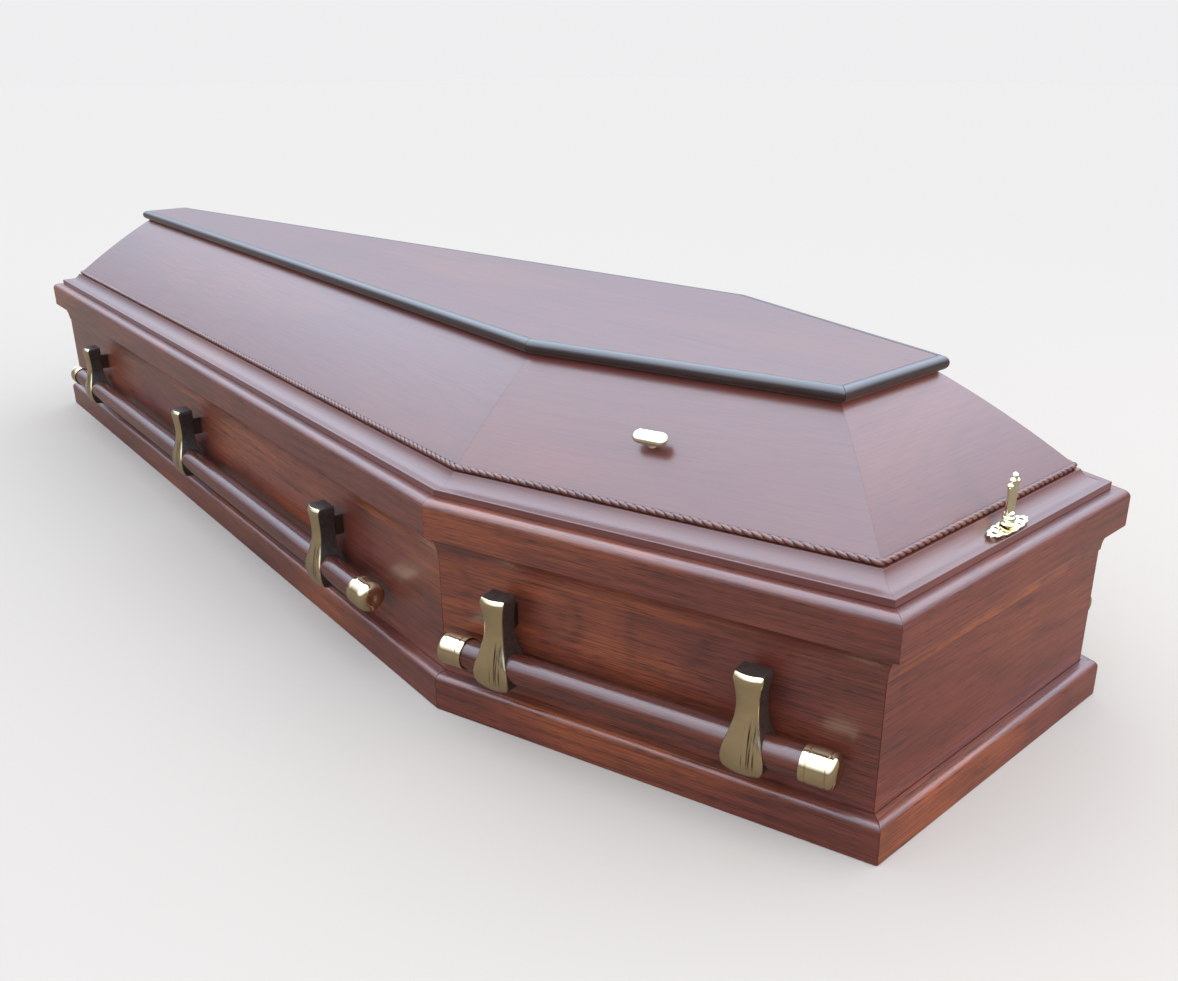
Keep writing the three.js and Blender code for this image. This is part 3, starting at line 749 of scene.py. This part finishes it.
pale_gold = plated_metal("pale_gold", (0.90, 0.81, 0.55), 0.13)
screw_inset = 0.028
plate_length = 0.074
plate_width = 0.020
plate_thickness = 0.0018
plate_bead = 0.0004
plate_tilt = math.radians(9)
plate_underside = 0.2664
plate_lobes = 14
scallop_depth = 0.09
rim_steps = plate_lobes * 8

plate_curve = bpy.data.curves.new("plate_outline", "CURVE")
plate_curve.dimensions = "2D"
plate_curve.fill_mode = "BOTH"
plate_curve.extrude = plate_thickness / 2 - plate_bead
plate_curve.bevel_depth = plate_bead
plate_curve.bevel_resolution = 2
plate_curve.offset = -plate_bead
plate_rim = []
for i in range(rim_steps):
    angle = full_turn * i / rim_steps
    scallop = 1 - scallop_depth * (0.5 - 0.5 * math.cos(plate_lobes * angle)) ** 1.5
    across, along = plate_width / 2 * scallop, plate_length / 2 * scallop
    plate_rim.append((across * math.cos(angle), along * math.sin(angle), 0))
closed_line(plate_curve, plate_rim)
holes = [(0, 0, 0.004), (0, 0.026, 0.0026), (0, -0.026, 0.0026)]
holes += [(x, y, 0.002) for y in (0.0145, -0.0145) for x in (0.0046, -0.0046)]
for hole_x, hole_y, radius in holes:
    closed_line(plate_curve, [(hole_x + x, hole_y - y, 0) for x, y in circle(radius, 20)])
plate_mesh = baked(placed("plate_outline", plate_curve), "plate_pattern")
plate_seat = Matrix.Translation((0, 0, plate_underside)) @ Matrix.Rotation(plate_tilt, 4, "Y")

# The finial's stem is (radius, height over the plate's collar). Each rib has its place at the
# foot, its place at the tip and how far the tip stays below the top.
collar = 0.2698
finial_top = 0.323
stem = [
    (0.0027, -0.0052),
    (0.0028, -0.0005),
    (0.0074, -0.0001),
    (0.0080, 0.0005),
    (0.0080, 0.0012),
    (0.0072, 0.0019),
    (0.0058, 0.0026),
    (0.0054, 0.0036),
    (0.0062, 0.0046),
    (0.0068, 0.0058),
    (0.0068, 0.0070),
    (0.0060, 0.0082),
    (0.0052, 0.0090),
    (0.0052, 0.0098),
    (0.0058, 0.0108),
    (0.0056, 0.0120),
    (0.0044, 0.0132),
    (0.0016, 0.0138),
]
rib_foot = collar + 0.008
ribs = [
    (-0.0030, -0.0054, 0.0095),
    (-0.0010, -0.0017, 0.0046),
    (0.0012, 0.0021, 0.0),
    (0.0030, 0.0066, 0.0062),
]
rib_shaft = [(0.0, 0.0024), (0.010, 0.0029)]
rib_head = [
    (0.012, 0.0030),
    (0.0054, 0.0027),
    (0.0047, 0.0029),
    (0.0042, 0.0036),
    (0.0036, 0.0038),
    (0.0026, 0.0036),
    (0.0014, 0.0028),
    (0.0005, 0.0016),
    (0.0, 0.0004),
]
spur = [(0.0, 0.0024), (0.005, 0.0024), (0.0085, 0.0019), (0.0104, 0.0010), (0.0110, 0.0003)]
spur_foot = collar + 0.009
spur_place = 0.0036
spur_lean = 0.42

for end_name, end_turn in (("head", 0.0), ("foot", math.pi)):
    stand = Matrix.Rotation(end_turn, 4, "Z") @ Matrix.Translation((half_length - screw_inset, 0, 0))
    plate_shell = bmesh.new()
    plate_shell.from_mesh(plate_mesh)
    plate_shell.transform(stand @ plate_seat @ Matrix.Translation((0, 0, plate_thickness / 2)))
    bmesh.ops.remove_doubles(plate_shell, verts=plate_shell.verts, dist=1e-6)
    plate = piece_from(f"screw_plate_{end_name}", plate_shell, pale_gold)
    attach(plate, "coffin")
    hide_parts(f"lid_screw_plate_{end_name}")

    finial_shell = bmesh.new()
    turned(finial_shell, [(radius, collar + rise) for radius, rise in stem], 32, stand)
    for foot_y, tip_y, drop in ribs:
        tip = finial_top - drop
        levels = [(rib_foot + rise, radius) for rise, radius in rib_shaft]
        levels += [(tip - fall, radius) for fall, radius in rib_head]
        slant = (tip_y - foot_y) / (tip - rib_foot)
        rib = [(height, foot_y + slant * (height - rib_foot), radius) for height, radius in levels]
        leaning(finial_shell, rib, 20, stand)
    spur_levels = [(spur_foot + rise, spur_place + spur_lean * rise, radius) for rise, radius in spur]
    leaning(finial_shell, spur_levels, 16, stand)
    finial = piece_from(f"screw_finial_{end_name}", finial_shell, pale_gold)
    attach(finial, "coffin")
    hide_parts(f"lid_screw_{end_name}")
bpy.data.meshes.remove(plate_mesh)

# The lid knobs: a small oblong knob on a round neck, in bright plated metal, is screwed to
# each short slope.
knob_share = 0.485
knob_climbs = (2 / 6, 3 / 6)
knob_neck = [
    (0.0062, 0.0009),
    (0.0064, 0.0016),
    (0.0060, 0.0026),
    (0.0047, 0.0040),
    (0.0042, 0.0060),
    (0.0044, 0.0086),
]
# height over the slope, half length and half width
knob_head = [
    (0.0078, 0.0145, 0.0046),
    (0.0084, 0.0170, 0.0064),
    (0.0098, 0.0190, 0.0076),
    (0.0118, 0.0199, 0.0081),
    (0.0138, 0.0200, 0.0082),
    (0.0152, 0.0192, 0.0075),
    (0.0163, 0.0175, 0.0060),
    (0.0171, 0.0150, 0.0042),
    (0.0175, 0.0120, 0.0022),
]
for knob_name, knob_side, share in (
    ("right", RIGHT_SHORT, knob_share),
    ("left", LEFT_SHORT, 1 - knob_share),
):
    places = []
    for climb in knob_climbs:
        place = on_slope(knob_side, climb).lerp(on_slope((knob_side + 1) % 6, climb), share)
        places.append(Vector((*place, slope_height(climb))))
    low, high = places
    along = side_direction(rim_outline, knob_side).to_3d()
    normal = along.cross(high - low).normalized()
    seat = Matrix((along, normal.cross(along), normal)).transposed().to_4x4()
    seat.translation = (low + high) / 2
    knob_shell = bmesh.new()
    turned(knob_shell, knob_neck, 32, seat)
    head_rows = []
    for height, half_long, half_wide in knob_head:
        straight = half_long - half_wide
        oblong = [(math.copysign(straight, x) + x, y) for x, y in circle(half_wide, 32)]
        head_rows.append([seat @ Vector((x, y, height)) for x, y in oblong])
    lofted(knob_shell, head_rows)
    knob = piece_from(f"slope_knob_{knob_name}", knob_shell, pale_gold)
    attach(knob, "coffin")
    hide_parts(f"lid_knob_{knob_name}")

# The handles: on each long side two round wooden bars hang from cast arms, which swing on
# lugs screwed to the walls. The lugs stay still and are cast metal, left dark.
lug_metal = plated_metal("lug_metal", (0.13, 0.105, 0.09), 0.30)
# Places of the arms, and of the two ends of the bar, along the wall from its foot end.
long_bar = ([0.262, 0.780, 1.298], (0.132, 1.430))
short_bar = ([0.101, 0.391], (0.026, 0.481))
handles = {
    "right_long": (RIGHT_LONG, *long_bar),
    "right_short": (RIGHT_SHORT, *short_bar),
    "left_long": (LEFT_LONG, *long_bar),
    "left_short": (LEFT_SHORT, *short_bar),
}
for handle_name, (_, posts, _) in handles.items():
    for number in range(1, len(posts) + 1):
        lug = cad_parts[f"lug_{handle_name}_{number}"]
        lug.data.materials.clear()
        lug.data.materials.append(lug_metal)

# The arms: hollow-backed castings, narrow at the waist and swelling round the bar. A slot at
# the back takes the lug's nose, with the hinge pin across it. The bowed front is polished and
# plated gold, with dark vertical streaks of painted reflection. The rest keeps a dark brown lacquer.
arm_gold = plated_metal("arm_gold", (0.70, 0.54, 0.32), 0.11)
arm_tree = arm_gold.node_tree
casting = add_node(arm_tree, "ShaderNodeAttribute", attribute_name="casting").outputs["Vector"]
casting_axes = add_node(arm_tree, "ShaderNodeSeparateXYZ", {0: casting}).outputs
# Painted reflections: thin dark vertical streaks on the gold front, faded out towards its edges.
reflection_streak_noise = noise(arm_tree, casting, (520.0, 0.0, 15.0), detail=3.0)
painted_reflection_streaks = fitted(arm_tree, reflection_streak_noise, 0.46, 0.60)
reflection_streak_limits = [("X", -0.002, 0.004), ("X", 0.017, 0.011), ("Z", 0.074, 0.088), ("Z", 0.130, 0.112)]
for axis, none_at, full_at in reflection_streak_limits:
    band = fitted(arm_tree, casting_axes[axis], none_at, full_at)
    painted_reflection_streaks = calc(arm_tree, "MULTIPLY", painted_reflection_streaks, band)
# The painted reflection streaks are laid over the gold in a dark brown.
paint_shading_over(arm_gold, painted_reflection_streaks, (0.07, 0.05, 0.04))

arm_lacquer, lacquer_tree, lacquer_shader = new_material("arm_lacquer")
lacquer_tones = [(0.35, (0.018, 0.012, 0.011)), (0.70, (0.040, 0.028, 0.025))]
lacquer_place = add_node(lacquer_tree, "ShaderNodeTexCoord").outputs["Object"]
lacquer_noise = noise(lacquer_tree, lacquer_place, (240.0, 240.0, 240.0), detail=3.0)
lacquer_colour = ramp(lacquer_tree, lacquer_noise, lacquer_tones)
connect(lacquer_tree, lacquer_shader, {"Base Color": lacquer_colour, "Roughness": 0.42})

bar_depth = 0.026
bar_height = 0.093
pivot_depth = 0.022
pivot_height = 0.1426
# height, half width, and depths from the wall of the back, the front corners and the front
arm_levels = [
    (0.0635, 0.0115, 0.0230, 0.0320, 0.0352),
    (0.0685, 0.0176, 0.0160, 0.0380, 0.0414),
    (0.0760, 0.0214, 0.0090, 0.0424, 0.0452),
    (0.0840, 0.0224, 0.0052, 0.0442, 0.0464),
    (0.0940, 0.0212, 0.0052, 0.0438, 0.0460),
    (0.1040, 0.0184, 0.0084, 0.0414, 0.0442),
    (0.1140, 0.0156, 0.0122, 0.0382, 0.0418),
    (0.1240, 0.0133, 0.0133, 0.0356, 0.0398),
    (0.1340, 0.0123, 0.0133, 0.0342, 0.0384),
    (0.1460, 0.0125, 0.0133, 0.0342, 0.0384),
    (0.1580, 0.0142, 0.0133, 0.0354, 0.0396),
    (0.1665, 0.0156, 0.0133, 0.0360, 0.0402),
    (0.1720, 0.0148, 0.0133, 0.0334, 0.0372),
]


def arm_outline(height, half_width, back, corner, front):
    """One level of the arm, anticlockwise from its back right corner."""
    corner_round = 0.0022
    back_round = 0.0008
    shoulder = half_width - corner_round

    def bow(x):
        return corner + (front - corner) * (1 - (x / half_width) ** 2)

    points = [
        (half_width, back + back_round),
        (half_width, (back + corner) / 2),
        (half_width, corner - corner_round),
    ]
    corner_radii = (corner_round, bow(shoulder) - corner + corner_round)
    points += arc((shoulder, corner - corner_round), corner_radii, 0, 90, steps=4)[1:]
    for i in range(1, 12):
        x = shoulder * (1 - 2 * i / 12)
        points.append((x, bow(x)))
    points += [(-x, depth) for x, depth in reversed(points[:7])]
    points += [(-half_width + back_round, back), (half_width - back_round, back)]
    return [Vector((x, -depth, height)) for x, depth in points]


def arm_sizes(height):
    """The arm's sizes at any height, on a smooth curve through the levels."""
    last = len(arm_levels) - 1
    i = max(j for j in range(last) if arm_levels[j][0] <= height)
    before, low, high, after = (arm_levels[min(max(j, 0), last)] for j in range(i - 1, i + 3))
    span = high[0] - low[0]
    t = (height - low[0]) / span
    sizes = []
    for k in range(1, 5):
        rise_low = (high[k] - before[k]) / (high[0] - before[0]) * span
        rise_high = (after[k] - low[k]) / (after[0] - low[0]) * span
        sizes.append(
            (2 * t**3 - 3 * t**2 + 1) * low[k]
            + (t**3 - 2 * t**2 + t) * rise_low
            + (3 * t**2 - 2 * t**3) * high[k]
            + (t**3 - t**2) * rise_high
        )
    return sizes


body_foot, body_top, arm_top = 0.0685, 0.1665, 0.1720
arm_heights = [0.0635, 0.0640, 0.0650, 0.0665]
arm_heights += [body_foot + (body_top - body_foot) * i / 40 for i in range(41)]
arm_heights += [0.1685, 0.1700, 0.1712]
arm_rows = [arm_outline(height, *arm_sizes(height)) for height in arm_heights]
half_width, back, corner, front = arm_sizes(arm_heights[-1])
for drop, shrink in ((0.0004, 0.0003), (0.0001, 0.0007), (0.0, 0.0012)):
    sizes = (half_width - shrink, back + shrink * 0.5, corner - shrink, front - shrink)
    arm_rows.append(arm_outline(arm_top - drop, *sizes))
arm_shell = bmesh.new()
lofted(arm_shell, arm_rows)
arm_proof = piece_from("arm_proof", arm_shell, arm_gold, 32.0)

slot_low = Vector((-0.0075, -(pivot_depth + 0.0078), pivot_height - 0.0078))
slot_high = Vector((0.0075, 0.0, pivot_height + 0.0205))
slot_shell = bmesh.new()
bmesh.ops.create_cube(slot_shell, size=1.0)
for vertex in slot_shell.verts:
    vertex.co = Vector(slot_low[k] if vertex.co[k] < 0 else slot_high[k] for k in range(3))
slot_cutter = piece_from("slot_cutter", slot_shell, arm_gold)
lengthwise = Matrix.Rotation(math.pi / 2, 4, "Y")


def crosswise_rod(name, radius, half_long, sides, depth, height):
    """A rod across the arm, at a depth from the wall and a height."""
    shell = bmesh.new()
    place = Matrix.Translation((0, -depth, height)) @ lengthwise
    turned(shell, [(radius, -half_long), (radius, half_long)], sides, place)
    return piece_from(name, shell, arm_gold)


eye_cutter = crosswise_rod("eye_cutter", 0.0163, 0.03, 64, bar_depth, bar_height)
pin_core = crosswise_rod("pin_core", 0.0025, 0.008, 24, pivot_depth, pivot_height)
for tool, operation in ((slot_cutter, "DIFFERENCE"), (eye_cutter, "DIFFERENCE"), (pin_core, "UNION")):
    change = arm_proof.modifiers.new(operation, "BOOLEAN")
    change.object = tool
    change.operation = operation
    change.solver = "EXACT"
arm_mesh = baked(arm_proof, "arm_pattern")
for used in (slot_cutter, eye_cutter, pin_core):
    bpy.data.objects.remove(used)
shaded(arm_mesh, 32.0)
front_only = -0.35
lacquered = arm_mesh.attributes.new("lacquered", "BOOLEAN", "FACE")
for entry, polygon in zip(lacquered.data, arm_mesh.polygons):
    entry.value = polygon.normal.y > front_only
casting_places = arm_mesh.attributes.new("casting", "FLOAT_VECTOR", "POINT")
for entry, vertex in zip(casting_places.data, arm_mesh.vertices):
    entry.vector = vertex.co
arm_pattern = placed("arm_pattern", arm_mesh)

# One node tree sets a fitting on every point of a handle, turned to the wall, and each
# handle's fittings become one mesh that swings with its bar. Faces marked as lacquered get
# the dark finish.
setting_tree = bpy.data.node_groups.new("set_along_bar", "GeometryNodeTree")
setting_inputs = tree_inputs(setting_tree, {"Fitting": "Object", "Finish": "Material", "Lacquer": "Material"})
setting_given = add_node(setting_tree, "NodeGroupInput").outputs


def named_attribute(name, kind):
    node = add_node(setting_tree, "GeometryNodeInputNamedAttribute", {"Name": name}, data_type=kind)
    return node.outputs["Attribute"]


fitting = add_node(setting_tree, "GeometryNodeObjectInfo", {"Object": setting_given["Fitting"]})
about_z = step(setting_tree, "ShaderNodeCombineXYZ", {"Z": named_attribute("turn", "FLOAT")})
point_inputs = {
    "Points": setting_given["Geometry"],
    "Instance": fitting.outputs["Geometry"],
    "Rotation": about_z,
}
copies = step(setting_tree, "GeometryNodeInstanceOnPoints", point_inputs)
real = step(setting_tree, "GeometryNodeRealizeInstances", {"Geometry": copies})
finish_inputs = {"Geometry": real, "Material": setting_given["Finish"]}
finished = step(setting_tree, "GeometryNodeSetMaterial", finish_inputs)
lacquer_inputs = {
    "Geometry": finished,
    "Selection": named_attribute("lacquered", "BOOLEAN"),
    "Material": setting_given["Lacquer"],
}
dressed = step(setting_tree, "GeometryNodeSetMaterial", lacquer_inputs)
add_node(setting_tree, "NodeGroupOutput", {"Geometry": dressed})


def wall_place(side, along, depth, height):
    """A point of a handle: length from the wall's foot-end corner, depth out from its face."""
    if side in (LEFT_LONG, LEFT_SHORT):
        along = (rim_outline[(side + 1) % 6] - rim_outline[side]).length - along
    direction = side_direction(rim_outline, side)
    inward = Vector((-direction.y, direction.x))
    place = rim_outline[side] + direction * along + inward * (wall_face - depth)
    return Vector((*place, height))


def wall_turn(side):
    direction = side_direction(rim_outline, side)
    return math.atan2(direction.y, direction.x)


def set_fittings(name, places, turns, pattern):
    """Copies of a fitting at places on a wall, as one piece."""
    points = bpy.data.meshes.new("places")
    points.from_pydata(places, [], [])
    turn_values = points.attributes.new("turn", "FLOAT", "POINT")
    for entry, value in zip(turn_values.data, turns):
        entry.value = value
    base = placed("places", points)
    setter = base.modifiers.new("setting", "NODES")
    setter.node_group = setting_tree
    setter[setting_inputs["Fitting"]] = pattern
    setter[setting_inputs["Finish"]] = arm_gold
    setter[setting_inputs["Lacquer"]] = arm_lacquer
    return placed(name, baked(base, name))


for handle_name, (side, posts, _) in handles.items():
    arm_places = [wall_place(side, post, 0.0, 0.0) for post in posts]
    arms = set_fittings(f"arms_{handle_name}", arm_places, [wall_turn(side)] * len(posts), arm_pattern)
    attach(arms, f"handle_{handle_name}")
    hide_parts(*(f"arm_{handle_name}_{i + 1}" for i in range(len(posts))))
bpy.data.objects.remove(arm_pattern)

# The bars: turned round in the same wood as the box, stained and lacquered. They pass
# through the eyes of the arms and end inside the caps.
bar_wood = stained_wood(
    "bar_wood",
    deep=(0.040, 0.013, 0.012),
    middle=(0.120, 0.034, 0.025),
    warm=(0.150, 0.044, 0.028),
    gloss=0.21,
    coat=0.15,
)
bar_radius = 0.016
bar_chamfer = 0.001
cap_end = 0.0053
bar_sides = 64
upward = Vector((0, 0, 1))
for handle_name, (side, _, (bar_start, bar_end)) in handles.items():
    first = wall_place(side, bar_start + cap_end, bar_depth, bar_height)
    last = wall_place(side, bar_end - cap_end, bar_depth, bar_height)
    run = (last - first).normalized()
    outward = run.cross(upward).normalized()
    rows = []
    for middle, radius in (
        (first, bar_radius - bar_chamfer),
        (first + run * bar_chamfer, bar_radius),
        (last - run * bar_chamfer, bar_radius),
        (last, bar_radius - bar_chamfer),
    ):
        rows.append([middle + outward * x + upward * y for x, y in circle(radius, bar_sides)])
    bar_shell = bmesh.new()
    bar_grain = bar_shell.loops.layers.uv.new("board")
    lofted(bar_shell, rows)
    for face in bar_shell.faces:
        steps = []
        for loop in face.loops:
            away = loop.vert.co - first
            angle = math.atan2(away.z, away.dot(outward)) % full_turn
            steps.append((away.dot(run), angle))
        wraps = max(a for _, a in steps) - min(a for _, a in steps) > math.pi
        for loop, (distance, angle) in zip(face.loops, steps):
            if wraps and angle < math.pi:
                angle += full_turn
            loop[bar_grain].uv = (distance + 5.1 * side, angle * bar_radius + 2.3 * side)
    bar = piece_from(f"wooden_bar_{handle_name}", bar_shell, bar_wood)
    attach(bar, f"handle_{handle_name}")
    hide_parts(f"bar_{handle_name}")

# The caps: pressed metal cups pushed over the ends of the bars, with a ring rolled in near
# the mouth and near the closed end, which is domed and has a small dimple in the middle.
cap_length = 0.0345
cap_radius = 0.0183
cap_bore = 0.0163
cap_bottom = cap_length - 0.005
# The first three points are the bore, from the middle of its bottom to the mouth.
cap_profile = [
    (0.0005, cap_bottom),
    (cap_bore, cap_bottom),
    (cap_bore, 0.0003),
    (cap_bore + 0.0004, 0.0),
    (cap_radius - 0.0006, 0.0),
    (cap_radius - 0.0001, 0.0005),
    (cap_radius, 0.0012),
    (cap_radius, 0.0056),
    (cap_radius - 0.0007, 0.0062),
    (cap_radius - 0.0007, 0.0068),
    (cap_radius, 0.0074),
    (cap_radius, 0.0250),
    (cap_radius - 0.0007, 0.0256),
    (cap_radius - 0.0007, 0.0262),
    (cap_radius - 0.0002, 0.0268),
    (cap_radius - 0.0004, 0.0282),
    (cap_radius - 0.0011, 0.0300),
    (cap_radius - 0.0024, 0.0317),
    (cap_radius - 0.0045, 0.0331),
    (cap_radius - 0.0074, 0.0341),
    (cap_radius - 0.0105, cap_length),
    (0.0060, 0.0344),
    (0.0040, 0.0341),
    (0.0022, 0.0336),
    (0.0005, 0.0334),
]
cap_shell = bmesh.new()
turned(cap_shell, cap_profile, 64, lengthwise)
cap_pattern = piece_from("cap_pattern", cap_shell, arm_gold, 28.0)
for handle_name, (side, _, (bar_start, bar_end)) in handles.items():
    mouths = (bar_start + cap_length, bar_end - cap_length)
    places = [wall_place(side, mouth, bar_depth, bar_height) for mouth in mouths]
    outward_turns = [wall_turn(side) + math.pi, wall_turn(side)]
    if side in (LEFT_LONG, LEFT_SHORT):
        outward_turns.reverse()
    caps = set_fittings(f"bar_caps_{handle_name}", places, outward_turns, cap_pattern)
    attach(caps, f"handle_{handle_name}")
    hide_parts(f"cap_{handle_name}_1", f"cap_{handle_name}_2")
bpy.data.objects.remove(cap_pattern)
